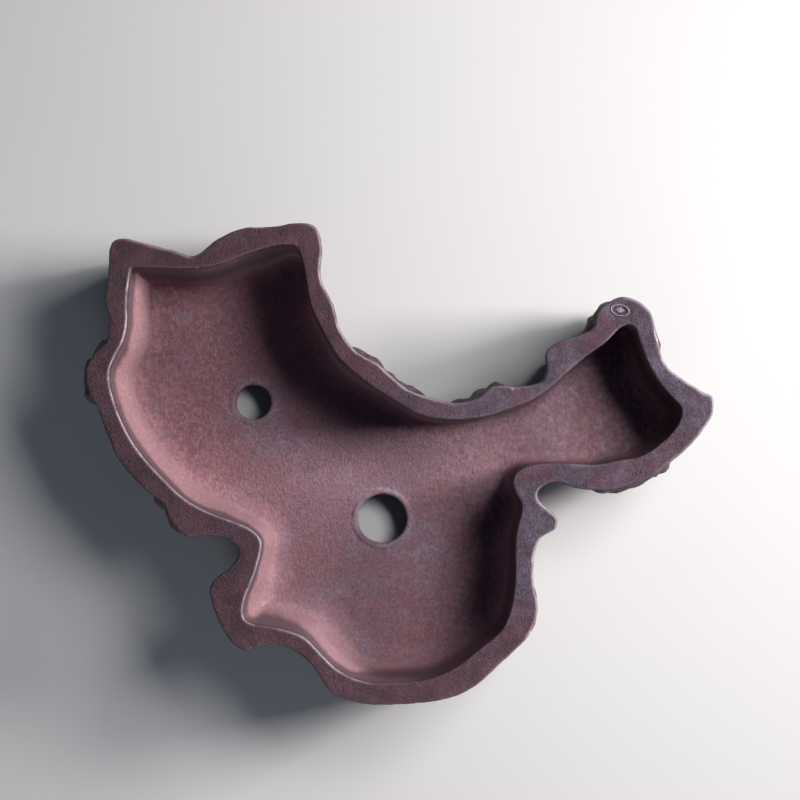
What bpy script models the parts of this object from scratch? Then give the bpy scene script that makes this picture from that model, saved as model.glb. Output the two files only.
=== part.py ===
"""A rock-shaped bonsai pot of unglazed stoneware, as the clay pieces that a potter lutes together.

The pot stands upright on its feet: +Z is up, +X points to the narrow east arm, and the origin is
below the middle of the pot, on the surface that it stands on. Around the pot, u counts the stations
of RIM_STATIONS, clockwise from the north-west corner, and may be a fraction. Across the wall, d is
the distance outwards from the inner edge of the rim. Pieces that touch keep a gap of GAP.
"""

import math
import random

import bmesh
import bpy
from mathutils import Vector

MM = 0.001
GAP = 0.3 * MM

# Heights of the layers, from the surface that the pot stands on.
FOOT_HEIGHT = 6.0 * MM
FLOOR_THICKNESS = 7.0 * MM
POT_HEIGHT = 58.0 * MM
RIM_THICKNESS = 5.0 * MM
FLOOR_BOTTOM = FOOT_HEIGHT + GAP
FLOOR_TOP = FLOOR_BOTTOM + FLOOR_THICKNESS
WALL_BOTTOM = FLOOR_TOP + GAP
WALL_TOP = POT_HEIGHT - RIM_THICKNESS - GAP
RIM_BOTTOM = POT_HEIGHT - RIM_THICKNESS

# The wall leans out as it rises, and the rim overhangs it on both sides.
RIM_OVERHANG = 1.0 * MM
WALL_DRAFT = 1.5 * MM
WALL_TOP_SHARE = 0.72
WALL_FOOT_SHARE = 0.45
RIM_BEVEL = 0.8 * MM
RIM_UNDERCUT = 1.0 * MM

# Each station: outer edge x and y, then inner edge x and y, in millimetres.
RIM_STATIONS = (
    (-117, 90.5, -108.5, 80.5), (-113, 92.5, -106, 80.5), (-102.5, 90.5, -98.5, 80.5),
    (-91, 87.5, -89.5, 80), (-83, 85.5, -82, 80), (-72.5, 93, -72, 82),
    (-61.5, 97, -61.5, 86), (-49.5, 97.5, -50, 89.5), (-38.5, 99, -44, 90),
    (-33, 97.5, -41, 89), (-30.5, 88.5, -38.5, 84), (-31, 77, -37, 76),
    (-26, 65.5, -35, 65.5), (-22.5, 54.5, -30, 54.5), (-16.5, 46.5, -23.5, 43.5),
    (-7, 40.5, -13.5, 34.5), (4, 31, -1.5, 26.5), (14, 27, 10, 20),
    (25, 25, 23, 18), (34.5, 27.5, 35.5, 19), (39.5, 31.5, 44, 21.5),
    (50.5, 31.5, 52.5, 24.5), (59.5, 33.5, 60, 28.5), (62, 38.5, 64, 31.5),
    (61.5, 45, 69.5, 36.5), (66.5, 49.5, 74, 40.5), (75.5, 52.5, 80.5, 45.5),
    (81, 55.5, 86, 49.5), (83, 61.5, 89, 52.5), (87, 66, 92, 55.5),
    (93.5, 68.5, 95.5, 57), (100, 66.5, 98, 56), (105, 61, 99.5, 52.5),
    (107, 52.5, 101.5, 46), (110.5, 41, 105, 38.5), (118.5, 34, 110, 31),
    (126, 29.5, 115.5, 25), (130, 27.5, 117, 23), (130, 20.5, 117, 19),
    (125.5, 13, 114, 13.5), (117.5, 4.5, 108.5, 8), (106, -4.5, 100.5, 3),
    (95.5, -9, 91, 1), (84, -11, 82, -0.5), (73.5, -10, 71.5, 0),
    (65.5, -7.5, 60, 0), (60, -9.5, 51, -2.5), (58, -13.5, 48, -6.5),
    (61.5, -18, 49, -11.5), (66, -22, 51.5, -16), (66, -26.5, 51.5, -20.5),
    (59.5, -30.5, 50, -26), (57, -36.5, 49, -33.5), (56.5, -48, 49, -46),
    (58, -60.5, 47.5, -58), (54.5, -70.5, 43.5, -68), (45, -80, 35.5, -75),
    (34, -90, 24.5, -83.5), (22.5, -96, 14.5, -88), (2.5, -98.5, 2, -89.5),
    (-16.5, -98, -13.5, -89), (-26, -94, -23.5, -84.5), (-33, -84.5, -30.5, -78),
    (-40.5, -77.5, -37.5, -71), (-50.5, -74, -47.5, -67.5), (-57, -75, -53.5, -66.5),
    (-61.5, -77, -59, -65.5), (-67, -73.5, -62, -63.5), (-73.5, -62.5, -62.5, -60),
    (-76.5, -52, -61.5, -55), (-74, -47.5, -59.5, -50), (-68.5, -43, -57.5, -45),
    (-64.5, -37, -55.5, -37.5), (-67.5, -32, -55, -32), (-77, -29.5, -58.5, -27.5),
    (-86, -30, -67, -23.5), (-92, -25, -77.5, -19.5), (-95, -17.5, -87, -14),
    (-105, -9, -97, -4.5), (-114, 1.5, -105, 4.5), (-118.5, 11.5, -111.5, 15),
    (-122.5, 22, -115.5, 25), (-126.5, 29.5, -117.5, 32.5), (-127.5, 38.5, -117.5, 38.5),
    (-124.5, 44.5, -115.5, 43.5), (-119, 50.5, -112, 50.5), (-118, 57.5, -110.5, 58),
    (-120, 67, -110.5, 66.5), (-118.5, 77.5, -109.5, 76),
)
OUTER_EDGE = [Vector((x * MM, y * MM)) for x, y, _, _ in RIM_STATIONS]
INNER_EDGE = [Vector((x * MM, y * MM)) for _, _, x, y in RIM_STATIONS]
LAP = len(RIM_STATIONS)
SAMPLES_PER_STATION = 2

# The wall slabs: first and last u, then the radius of the clay coil worked into their foot.
WALLS = {
    "north": (0.5, 9.0, 4.0 * MM),
    "neck_slope": (9.0, 18.0, 6.0 * MM),
    "neck_north": (18.0, 24.0, 6.0 * MM),
    "arm_north": (24.0, 30.5, 5.0 * MM),
    "arm_east": (30.5, 37.5, 6.0 * MM),
    "arm_south": (37.5, 47.0, 5.0 * MM),
    "south_east": (47.0, 54.5, 7.0 * MM),
    "south": (54.5, 60.5, 8.0 * MM),
    "south_west": (60.5, 67.5, 8.0 * MM),
    "notch": (67.5, 72.5, 7.0 * MM),
    "west_low": (72.5, 78.5, 8.0 * MM),
    "west": (78.5, 83.5, 8.0 * MM),
    "north_west": (83.5, 89.5, 7.0 * MM),
}
# The coils thin out towards the tight corners of the hollow: their u, the share left there, and the
# share gained for each station away from them.
TIGHT_CORNERS = (0.5, 9.0, 30.5, 37.5, 67.5, 89.5)
COIL_SHARE_AT_CORNER = 0.35
COIL_SHARE_GAIN = 0.25
COIL_STEPS = 4
COIL_FEATHER = math.radians(20)

# The lengths of the rim band. Their joints stay clear of the joints between the walls.
RIMS = {
    "north": (4.5, 12.5),
    "neck_slope": (12.5, 20.5),
    "neck_north": (20.5, 27.0),
    "arm_tip": (27.0, 34.0),
    "arm_east": (34.0, 40.5),
    "arm_south": (40.5, 45.5),
    "knob": (45.5, 52.5),
    "south_east": (52.5, 58.5),
    "south_west": (58.5, 65.0),
    "hook": (65.0, 71.0),
    "notch": (71.0, 77.0),
    "west": (77.0, 82.0),
    "north_west": (82.0, 93.5),
}

# The lumps luted onto the walls: first and last u, lowest and highest z, greatest thickness.
ROCKS = {
    "north_ledge": (1.5, 5.0, 16 * MM, 47 * MM, 2.8 * MM),
    "north_crag": (5.5, 9.5, 14 * MM, 52 * MM, 3.0 * MM),
    "shoulder_crag": (10.5, 13.5, 14 * MM, 50 * MM, 3.0 * MM),
    "neck_ridge": (14.0, 17.0, 18 * MM, 52 * MM, 4.5 * MM),
    "neck_ledge": (17.5, 20.5, 14 * MM, 51 * MM, 4.0 * MM),
    "arm_crag": (26.5, 30.0, 14 * MM, 52 * MM, 5.5 * MM),
    "arm_side_crag": (32.0, 35.5, 14 * MM, 50 * MM, 4.2 * MM),
    "arm_boulder": (39.5, 43.0, 14 * MM, 51 * MM, 4.8 * MM),
    "south_east_ridge": (53.0, 56.5, 14 * MM, 50 * MM, 3.8 * MM),
    "south_ledge": (57.5, 61.0, 14 * MM, 46 * MM, 2.8 * MM),
    "south_west_ridge": (62.0, 65.5, 14 * MM, 49 * MM, 2.8 * MM),
    "west_boulder": (75.5, 78.0, 14 * MM, 52 * MM, 4.8 * MM),
    "west_ledge": (78.5, 81.0, 18 * MM, 49 * MM, 2.8 * MM),
    "north_west_boulder": (81.5, 84.5, 14 * MM, 51 * MM, 6.0 * MM),
    "north_west_ledge": (86.0, 89.0, 20 * MM, 50 * MM, 2.8 * MM),
}
ROCK_ROWS = 6
ROCK_EDGE = 1.5 * MM
ROCK_ROUGHNESS = 0.30
ROCK_GAP = 0.45 * MM

# Drain holes: centre x and y, radius. Their upper lip is chamfered.
DRAINS = {
    "drain_west": (-62.0 * MM, 26.0 * MM, 7.5 * MM),
    "drain_middle": (-6.5 * MM, -24.0 * MM, 10.5 * MM),
}
DRAIN_CHAMFER = 1.2 * MM
DRAIN_SIDES = 32

# Feet: centre x and y, radius, and the turn of their three lobes.
FEET = {
    "north_west": (-86 * MM, 62 * MM, 11 * MM, 20),
    "west": (-88 * MM, 10 * MM, 10 * MM, 75),
    "south": (-14 * MM, -74 * MM, 11 * MM, 100),
    "south_east": (36 * MM, -52 * MM, 10 * MM, 10),
    "east": (98 * MM, 20 * MM, 10 * MM, 50),
}
FOOT_SIDES = 24
FOOT_LOBE = 0.10
FOOT_BEVEL = 1.0 * MM
FOOT_FLARE = 1.0 * MM

SMOOTH_ANGLE = math.radians(40)
CLAY = {
    "floor_clay": (0.215, 0.135, 0.150),
    "wall_clay": (0.185, 0.110, 0.125),
    "coil_clay": (0.200, 0.122, 0.137),
    "rim_clay": (0.125, 0.082, 0.095),
    "rock_clay": (0.060, 0.038, 0.045),
    "foot_clay": (0.080, 0.052, 0.060),
}
CLAY_ROUGHNESS = 0.72


def clear_scene():
    for thing in list(bpy.data.objects):
        bpy.data.objects.remove(thing, do_unlink=True)


def clay_material(name):
    material = bpy.data.materials.new(name)
    material.use_nodes = True
    shader = material.node_tree.nodes["Principled BSDF"]
    shader.inputs["Base Color"].default_value = (*CLAY[name], 1.0)
    shader.inputs["Roughness"].default_value = CLAY_ROUGHNESS
    shader.inputs["Metallic"].default_value = 0.0
    material.diffuse_color = (*CLAY[name], 1.0)
    return material


def add_object(name, form, material):
    bmesh.ops.recalc_face_normals(form, faces=form.faces[:])
    mesh = bpy.data.meshes.new(name)
    form.to_mesh(mesh)
    form.free()
    mesh.shade_smooth()
    mesh.set_sharp_from_angle(angle=SMOOTH_ANGLE)
    mesh.materials.append(material)
    thing = bpy.data.objects.new(name, mesh)
    bpy.context.collection.objects.link(thing)
    return thing


def on_curve(points, u):
    """The point at u on a closed centripetal Catmull-Rom curve, which doesn't loop at tight corners."""
    first = math.floor(u)
    a, b, c, d = (points[(first + k) % LAP] for k in (-1, 0, 1, 2))
    ta = 0.0
    tb = ta + math.sqrt((b - a).length)
    tc = tb + math.sqrt((c - b).length)
    td = tc + math.sqrt((d - c).length)
    t = tb + (tc - tb) * (u - first)
    ab = a.lerp(b, (t - ta) / (tb - ta))
    bc = b.lerp(c, (t - tb) / (tc - tb))
    cd = c.lerp(d, (t - tc) / (td - tc))
    abc = ab.lerp(bc, (t - ta) / (tc - ta))
    bcd = bc.lerp(cd, (t - tb) / (td - tb))
    return abc.lerp(bcd, (t - tb) / (tc - tb))


def rim_width(u):
    return (on_curve(OUTER_EDGE, u) - on_curve(INNER_EDGE, u)).length


def place(u, d, z):
    inner = on_curve(INNER_EDGE, u)
    outwards = (on_curve(OUTER_EDGE, u) - inner).normalized()
    spot = inner + outwards * d
    return Vector((spot.x, spot.y, z))


def height_share(z):
    """How far up the wall z is: 0 at its foot and 1 under the rim."""
    return (z - WALL_BOTTOM) / (WALL_TOP - WALL_BOTTOM)


def wall_inside(z):
    return -WALL_DRAFT + (RIM_OVERHANG + WALL_DRAFT) * height_share(z)


def wall_outside(u, z):
    share = WALL_FOOT_SHARE + (WALL_TOP_SHARE - WALL_FOOT_SHARE) * height_share(z)
    return rim_width(u) * share


def strip_samples(first, last):
    """Values of u along a strip, whose ends give half a gap each to the next strip."""
    step = 1 / SAMPLES_PER_STATION
    reach = 0.05

    def trim(u):
        middle = rim_width(u) / 2
        run = (place(u + reach, middle, 0) - place(u - reach, middle, 0)).length / (2 * reach)
        return GAP / 2 / run

    start = first + trim(first)
    end = last - trim(last)
    inner = [k * step for k in range(math.ceil(first / step), math.floor(last / step) + 1)]
    margin = step / 4
    return [start] + [u for u in inner if start + margin < u < end - margin] + [end]


def sweep(name, samples, section, material):
    """A closed strip: section(u) gives its outline as d and z, the same number of points at each u."""
    form = bmesh.new()
    rings = [[form.verts.new(place(u, d, z)) for d, z in section(u)] for u in samples]
    for near, far in zip(rings, rings[1:]):
        for k, vertex in enumerate(near):
            form.faces.new((near[k - 1], vertex, far[k], far[k - 1]))
    form.faces.new(rings[0])
    form.faces.new(rings[-1])
    return add_object(name, form, material)


def wall_section(u):
    return (
        (wall_inside(WALL_BOTTOM), WALL_BOTTOM),
        (wall_outside(u, WALL_BOTTOM), WALL_BOTTOM),
        (wall_outside(u, WALL_TOP), WALL_TOP),
        (wall_inside(WALL_TOP), WALL_TOP),
    )


def coil_section(u, greatest):
    """The hollow fillet between floor and wall, whose feather edges are left about half a millimetre thick."""
    away = min(abs(u - corner) for corner in TIGHT_CORNERS)
    radius = greatest * min(1, COIL_SHARE_AT_CORNER + COIL_SHARE_GAIN * away)
    top = WALL_BOTTOM + radius
    centre = wall_inside(top) - GAP - radius
    span = math.pi / 2 - 2 * COIL_FEATHER
    turns = [COIL_FEATHER - math.pi / 2 + span * k / COIL_STEPS for k in range(COIL_STEPS + 1)]
    hollow = [(centre + radius * math.cos(a), top + radius * math.sin(a)) for a in turns]
    back = [
        (wall_inside(hollow[-1][1]) - GAP, hollow[-1][1]),
        (wall_inside(WALL_BOTTOM) - GAP, WALL_BOTTOM),
        (hollow[0][0], WALL_BOTTOM),
    ]
    return hollow + back


def rim_section(u):
    width = rim_width(u)
    return (
        (0, RIM_BOTTOM + RIM_UNDERCUT),
        (0, POT_HEIGHT - RIM_BEVEL),
        (RIM_BEVEL, POT_HEIGHT),
        (width - RIM_BEVEL, POT_HEIGHT),
        (width, POT_HEIGHT - RIM_BEVEL),
        (width, RIM_BOTTOM + RIM_UNDERCUT),
        (width - RIM_UNDERCUT, RIM_BOTTOM),
        (RIM_UNDERCUT, RIM_BOTTOM),
    )


def rock_thickness(across, up, greatest, chance):
    """Greatest in the middle, ROCK_EDGE at the sides, with a broken surface between."""
    bulge = math.sin(math.pi * across) ** 0.6 * math.sin(math.pi * up) ** 0.4
    broken = 1 + ROCK_ROUGHNESS * (chance.random() * 2 - 1)
    return ROCK_EDGE + (greatest - ROCK_EDGE) * bulge * broken


def make_rock(name, first, last, low, high, greatest, material):
    """A lump with its back on the wall: a grid of points there, a second one outside it, and four sides."""
    chance = random.Random(name)
    columns = round((last - first) * SAMPLES_PER_STATION)
    form = bmesh.new()
    back, front = {}, {}
    for i in range(columns + 1):
        for j in range(ROCK_ROWS + 1):
            u = first + i / SAMPLES_PER_STATION
            z = low + (high - low) * j / ROCK_ROWS
            base = wall_outside(u, z) + ROCK_GAP
            thick = rock_thickness(i / columns, j / ROCK_ROWS, greatest, chance)
            back[i, j] = form.verts.new(place(u, base, z))
            front[i, j] = form.verts.new(place(u, base + thick, z))
    for i in range(columns):
        for j in range(ROCK_ROWS):
            for sheet in (back, front):
                form.faces.new((sheet[i, j], sheet[i + 1, j], sheet[i + 1, j + 1], sheet[i, j + 1]))
    border = [(i, 0) for i in range(columns)]
    border += [(columns, j) for j in range(ROCK_ROWS)]
    border += [(i, ROCK_ROWS) for i in range(columns, 0, -1)]
    border += [(0, j) for j in range(ROCK_ROWS, 0, -1)]
    for k, here in enumerate(border):
        before = border[k - 1]
        form.faces.new((back[before], back[here], front[here], front[before]))
    return add_object(name, form, material)


def rotated_prism(name, rings, x, y, material):
    """A closed solid from rings of (angle, radius) points, each ring at its own z."""
    form = bmesh.new()
    loops = []
    for z, ring in rings:
        spots = [(x + r * math.cos(a), y + r * math.sin(a), z) for a, r in ring]
        loops.append([form.verts.new(spot) for spot in spots])
    for low, high in zip(loops, loops[1:]):
        for k, vertex in enumerate(low):
            form.faces.new((low[k - 1], vertex, high[k], high[k - 1]))
    form.faces.new(loops[0])
    form.faces.new(loops[-1])
    return add_object(name, form, material)


def make_foot(name, x, y, radius, turn, material):
    """A low cloud-shaped pad with three soft lobes, which flares towards the floor slab."""
    def ring(size):
        angles = [k * math.tau / FOOT_SIDES for k in range(FOOT_SIDES)]
        return [(a, size * (1 + FOOT_LOBE * math.cos(3 * a + math.radians(turn)))) for a in angles]

    levels = (
        (0, ring(radius - FOOT_BEVEL)),
        (FOOT_BEVEL, ring(radius)),
        (FOOT_HEIGHT, ring(radius + FOOT_FLARE)),
    )
    return rotated_prism(name, levels, x, y, material)


def make_drain_cutter(name, x, y, radius, material):
    """A cylinder past both faces of the floor slab, opening out at the slab's top edge."""
    def ring(size):
        return [(k * math.tau / DRAIN_SIDES, size) for k in range(DRAIN_SIDES)]

    reach = 2 * MM
    levels = (
        (FLOOR_BOTTOM - reach, ring(radius)),
        (FLOOR_TOP - DRAIN_CHAMFER, ring(radius)),
        (FLOOR_TOP + reach, ring(radius + DRAIN_CHAMFER + reach)),
    )
    cutter = rotated_prism(name, levels, x, y, material)
    cutter.hide_render = True
    cutter.display_type = "WIRE"
    return cutter


def make_floor(material):
    """One slab under all the walls, with both drain holes cut through it."""
    samples = [k / SAMPLES_PER_STATION for k in range(LAP * SAMPLES_PER_STATION)]
    form = bmesh.new()
    low, high = (
        [form.verts.new(place(u, wall_outside(u, WALL_BOTTOM), z)) for u in samples]
        for z in (FLOOR_BOTTOM, FLOOR_TOP)
    )
    for k, vertex in enumerate(low):
        form.faces.new((low[k - 1], vertex, high[k], high[k - 1]))
    form.faces.new(low)
    form.faces.new(high)
    slab = add_object("floor_slab", form, material)
    for name, (x, y, radius) in DRAINS.items():
        cut = slab.modifiers.new(name, "BOOLEAN")
        cut.operation = "DIFFERENCE"
        cut.solver = "EXACT"
        cut.object = make_drain_cutter("cutter_" + name, x, y, radius, material)


def main():
    clear_scene()
    clay = {name: clay_material(name) for name in CLAY}
    make_floor(clay["floor_clay"])
    for name, (first, last, radius) in WALLS.items():
        samples = strip_samples(first, last)
        sweep("wall_" + name, samples, wall_section, clay["wall_clay"])
        sweep("coil_" + name, samples, lambda u, r=radius: coil_section(u, r), clay["coil_clay"])
    for name, (first, last) in RIMS.items():
        sweep("rim_" + name, strip_samples(first, last), rim_section, clay["rim_clay"])
    for name, (first, last, low, high, greatest) in ROCKS.items():
        make_rock("rock_" + name, first, last, low, high, greatest, clay["rock_clay"])
    for name, (x, y, radius, turn) in FEET.items():
        make_foot("foot_" + name, x, y, radius, turn, clay["foot_clay"])


main()
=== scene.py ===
import math
import random
from dataclasses import dataclass

import bpy
import numpy as np
from mathutils import Matrix, Vector


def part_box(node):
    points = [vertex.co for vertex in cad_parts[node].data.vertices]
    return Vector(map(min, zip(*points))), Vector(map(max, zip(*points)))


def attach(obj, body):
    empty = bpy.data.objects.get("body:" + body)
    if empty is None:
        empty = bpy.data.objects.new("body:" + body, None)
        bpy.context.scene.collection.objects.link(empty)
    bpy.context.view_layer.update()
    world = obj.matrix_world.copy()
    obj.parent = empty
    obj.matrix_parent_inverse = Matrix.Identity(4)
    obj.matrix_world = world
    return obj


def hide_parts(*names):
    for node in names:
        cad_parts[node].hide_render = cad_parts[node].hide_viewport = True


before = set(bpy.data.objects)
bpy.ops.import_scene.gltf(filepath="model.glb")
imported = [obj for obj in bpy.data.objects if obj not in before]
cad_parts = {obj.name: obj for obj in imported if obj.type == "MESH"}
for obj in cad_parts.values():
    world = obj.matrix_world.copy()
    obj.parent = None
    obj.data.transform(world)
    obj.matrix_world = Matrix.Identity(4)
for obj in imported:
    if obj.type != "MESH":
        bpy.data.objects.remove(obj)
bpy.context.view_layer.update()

MM = 0.001
BODY = "root"

# Each station: outer edge x and y, then inner edge x and y, in millimetres, as in part.py.
RIM_STATIONS = (
    (-117, 90.5, -108.5, 80.5), (-113, 92.5, -106, 80.5), (-102.5, 90.5, -98.5, 80.5),
    (-91, 87.5, -89.5, 80), (-83, 85.5, -82, 80), (-72.5, 93, -72, 82),
    (-61.5, 97, -61.5, 86), (-49.5, 97.5, -50, 89.5), (-38.5, 99, -44, 90),
    (-33, 97.5, -41, 89), (-30.5, 88.5, -38.5, 84), (-31, 77, -37, 76),
    (-26, 65.5, -35, 65.5), (-22.5, 54.5, -30, 54.5), (-16.5, 46.5, -23.5, 43.5),
    (-7, 40.5, -13.5, 34.5), (4, 31, -1.5, 26.5), (14, 27, 10, 20),
    (25, 25, 23, 18), (34.5, 27.5, 35.5, 19), (39.5, 31.5, 44, 21.5),
    (50.5, 31.5, 52.5, 24.5), (59.5, 33.5, 60, 28.5), (62, 38.5, 64, 31.5),
    (61.5, 45, 69.5, 36.5), (66.5, 49.5, 74, 40.5), (75.5, 52.5, 80.5, 45.5),
    (81, 55.5, 86, 49.5), (83, 61.5, 89, 52.5), (87, 66, 92, 55.5),
    (93.5, 68.5, 95.5, 57), (100, 66.5, 98, 56), (105, 61, 99.5, 52.5),
    (107, 52.5, 101.5, 46), (110.5, 41, 105, 38.5), (118.5, 34, 110, 31),
    (126, 29.5, 115.5, 25), (130, 27.5, 117, 23), (130, 20.5, 117, 19),
    (125.5, 13, 114, 13.5), (117.5, 4.5, 108.5, 8), (106, -4.5, 100.5, 3),
    (95.5, -9, 91, 1), (84, -11, 82, -0.5), (73.5, -10, 71.5, 0),
    (65.5, -7.5, 60, 0), (60, -9.5, 51, -2.5), (58, -13.5, 48, -6.5),
    (61.5, -18, 49, -11.5), (66, -22, 51.5, -16), (66, -26.5, 51.5, -20.5),
    (59.5, -30.5, 50, -26), (57, -36.5, 49, -33.5), (56.5, -48, 49, -46),
    (58, -60.5, 47.5, -58), (54.5, -70.5, 43.5, -68), (45, -80, 35.5, -75),
    (34, -90, 24.5, -83.5), (22.5, -96, 14.5, -88), (2.5, -98.5, 2, -89.5),
    (-16.5, -98, -13.5, -89), (-26, -94, -23.5, -84.5), (-33, -84.5, -30.5, -78),
    (-40.5, -77.5, -37.5, -71), (-50.5, -74, -47.5, -67.5), (-57, -75, -53.5, -66.5),
    (-61.5, -77, -59, -65.5), (-67, -73.5, -62, -63.5), (-73.5, -62.5, -62.5, -60),
    (-76.5, -52, -61.5, -55), (-74, -47.5, -59.5, -50), (-68.5, -43, -57.5, -45),
    (-64.5, -37, -55.5, -37.5), (-67.5, -32, -55, -32), (-77, -29.5, -58.5, -27.5),
    (-86, -30, -67, -23.5), (-92, -25, -77.5, -19.5), (-95, -17.5, -87, -14),
    (-105, -9, -97, -4.5), (-114, 1.5, -105, 4.5), (-118.5, 11.5, -111.5, 15),
    (-122.5, 22, -115.5, 25), (-126.5, 29.5, -117.5, 32.5), (-127.5, 38.5, -117.5, 38.5),
    (-124.5, 44.5, -115.5, 43.5), (-119, 50.5, -112, 50.5), (-118, 57.5, -110.5, 58),
    (-120, 67, -110.5, 66.5), (-118.5, 77.5, -109.5, 76),
)
LAP = len(RIM_STATIONS)
SAMPLES_PER_STATION = 5

# Heights in millimetres, from the frame.
FOOT_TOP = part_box("foot_south")[1].z / MM
FLOOR_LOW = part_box("floor_slab")[0].z / MM
FLOOR_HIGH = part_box("floor_slab")[1].z / MM
RIM_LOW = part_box("rim_north")[0].z / MM
RIM_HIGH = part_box("rim_north")[1].z / MM

# How the hollow's wall meets the floor, by place: x, y, fillet radius and draft at the foot.
WALL_FEET = (
    (-106, 78, 4.5, 4.5), (-80, 82, 6.0, 5.0), (-60, 86, 6.0, 4.5), (-42, 92, 5.0, 1.5),
    (-32, 60, 8.0, 2.5), (8, 22, 6.0, 1.5),
    (48, 22, 5.0, 1.0), (80, 46, 5.0, 1.0), (98, 58, 5.0, 2.0), (112, 28, 8.0, 3.0),
    (100, 2, 5.0, 2.0), (72, -2, 3.5, 0.5), (48, -8, 5.0, 1.5), (50, -48, 9.0, 3.0),
    (28, -80, 8.0, 3.0), (0, -90, 9.0, 3.0), (-32, -78, 12.0, 6.0), (-60, -60, 12.0, 6.0),
    (-56, -32, 8.0, 3.0), (-85, -15, 7.0, 5.0), (-103, 4, 5.5, 6.0), (-116, 30, 4.5, 6.0),
    (-111, 58, 4.5, 6.0),
)
FEET_BLEND = 30.0
DRAFT_CURVE = 1.2
RIM_OVERHANG = 1.0

# The outside stands SETBACK behind the rim's outer edge at the top, and TAPER further at the foot.
# Its relief reaches at most PROUD past that edge, and tucks in by TUCK under the rim, over the
# heights TUCK_SPAN below it. It leaves THINNEST_WALL of clay outside the hollow's edge, except within
# CORE_SETBACK of the rim's outer edge.
SETBACK = 2.7
TAPER = 2.2
PROUD = 0.4
TUCK = 1.1
TUCK_SPAN = (7.0, 1.0)
THINNEST_WALL = 3.0
CORE_SETBACK = 1.0
BASE_ROUNDING = 2.0
ROOT_IN_RIM = 2.5

# Relief is worked out within RELIEF_REACH of the surface. Faces no further than INSIDE_REACH outside
# the hollow's edge, and more than BASE_HEIGHT above the underside, have the inside's clay.
RELIEF_REACH = 6.0
INSIDE_REACH = 2.2
BASE_HEIGHT = 1.5

# Each drain: x, y and radius. Its collar is a piece of its own, set in a slightly wider hole. The
# floor dips a little towards it.
DRAINS = {"drain_lip_west": (-62.0, 26.0, 7.5), "drain_lip_middle": (-6.5, -24.0, 10.5)}
DRAIN_ROUNDING = 1.6
COLLAR_GAP = 0.8
COLLAR_WIDTH = 4.3
COLLAR_SPAN = 5.0
COLLAR_RISE = 0.5
DISH_DEPTH = 0.8
DISH_REACH = 24.0

# The rim's outer edge is its brow, and the inner one is its lip. The pale worn edge, which is partly a
# painted highlight, fades out over these depths.
BROW_ROUNDING = 1.1
LIP_ROUNDING = 0.9
BROW_WEAR_AND_GLINT = (0.5, 1.15)
LIP_WEAR_AND_GLINT = (0.5, 1.2)

# The mesh steps of the distance fields.
BASIN_STEP = 1.0
COLLAR_STEP = 0.45
RIM_STEP = 0.55
ROCK_STEP = 0.75
FOOT_STEP = 0.6
STAMP_STEP = 0.2
MARGIN = 5.0


# Noise

# Large odd factors that scatter the bits of a whole number.
AXIS_FACTORS = (73856093, 19349663, 83492791)
SEED_FACTOR = 2654435
MIXERS = ((13, 1274126177), (16, 2246822519))


def hashed(corner, seed):
    """A fixed pseudo-random number from -1 to 1 for each whole-number corner of the lattice."""
    mixed = seed * SEED_FACTOR
    for axis, factor in enumerate(AXIS_FACTORS):
        mixed = mixed ^ corner[..., axis] * factor
    for shift, factor in MIXERS:
        mixed = (mixed ^ (mixed >> shift)) * factor & 0xFFFFFFFF
    return (mixed & 0xFFFF) / 32767.5 - 1.0


def noise(points, size, seed):
    """Smooth noise from -1 to 1 whose lumps are about size across."""
    p = points / size
    low = np.floor(p).astype(np.int64)
    t = p - low
    t = t * t * t * (t * (t * 6 - 15) + 10)
    total = np.zeros(p.shape[:-1])
    for k in range(8):
        corner = np.array((k & 1, k >> 1 & 1, k >> 2 & 1))
        weight = np.where(corner == 1, t, 1 - t).prod(axis=-1)
        total += weight * hashed(low + corner, seed)
    return total


TURN = np.array(((0.00, 0.80, 0.60), (-0.80, 0.36, -0.48), (-0.60, -0.48, 0.64)))


def layered(points, size, seed, octaves=3):
    """Noise at several sizes, each turned against the last so that the lattice doesn't show."""
    total, share, p = 0.0, 0.6, points
    for octave in range(octaves):
        total = total + share * noise(p, size, seed + octave)
        p = p @ TURN.T
        size *= 0.5
        share *= 0.55
    return total


def ridged(points, size, seed):
    """Sharp crests and rounded hollows, from -1 to 1."""
    return 1 - 2 * np.abs(layered(points, size, seed))


# Distance fields

def on_curve(points, u):
    """The point at u on a closed centripetal Catmull-Rom curve."""
    first = math.floor(u)
    a, b, c, d = (points[(first + k) % LAP] for k in (-1, 0, 1, 2))
    tb = math.sqrt((b - a).length)
    tc = tb + math.sqrt((c - b).length)
    td = tc + math.sqrt((d - c).length)
    t = tb + (tc - tb) * (u - first)
    ab, bc, cd = a.lerp(b, t / tb), b.lerp(c, (t - tb) / (tc - tb)), c.lerp(d, (t - tc) / (td - tc))
    abc = ab.lerp(bc, t / tc)
    bcd = bc.lerp(cd, (t - tb) / (td - tb))
    return abc.lerp(bcd, (t - tb) / (tc - tb))


OUTER = [Vector((x, y)) for x, y, _, _ in RIM_STATIONS]
INNER = [Vector((x, y)) for _, _, x, y in RIM_STATIONS]


def outline(points):
    return np.array([on_curve(points, k / SAMPLES_PER_STATION) for k in range(LAP * SAMPLES_PER_STATION)])


def signed_distance(loop, xs, ys):
    """Distance from a closed outline on the grid of xs and ys, negative inside it."""
    x, y = xs[:, None], ys[None, :]
    nearest = np.full((len(xs), len(ys)), np.inf)
    inside = np.zeros((len(xs), len(ys)), bool)
    for (ax, ay), (bx, by) in zip(loop, np.roll(loop, -1, axis=0)):
        dx, dy = bx - ax, by - ay
        t = np.clip(((x - ax) * dx + (y - ay) * dy) / (dx * dx + dy * dy), 0, 1)
        nearest = np.minimum(nearest, (ax + t * dx - x) ** 2 + (ay + t * dy - y) ** 2)
        if dy:
            inside ^= ((ay > y) != (by > y)) & (x < dx * (y - ay) / dy + ax)
    return np.sqrt(nearest) * np.where(inside, -1, 1)


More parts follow.
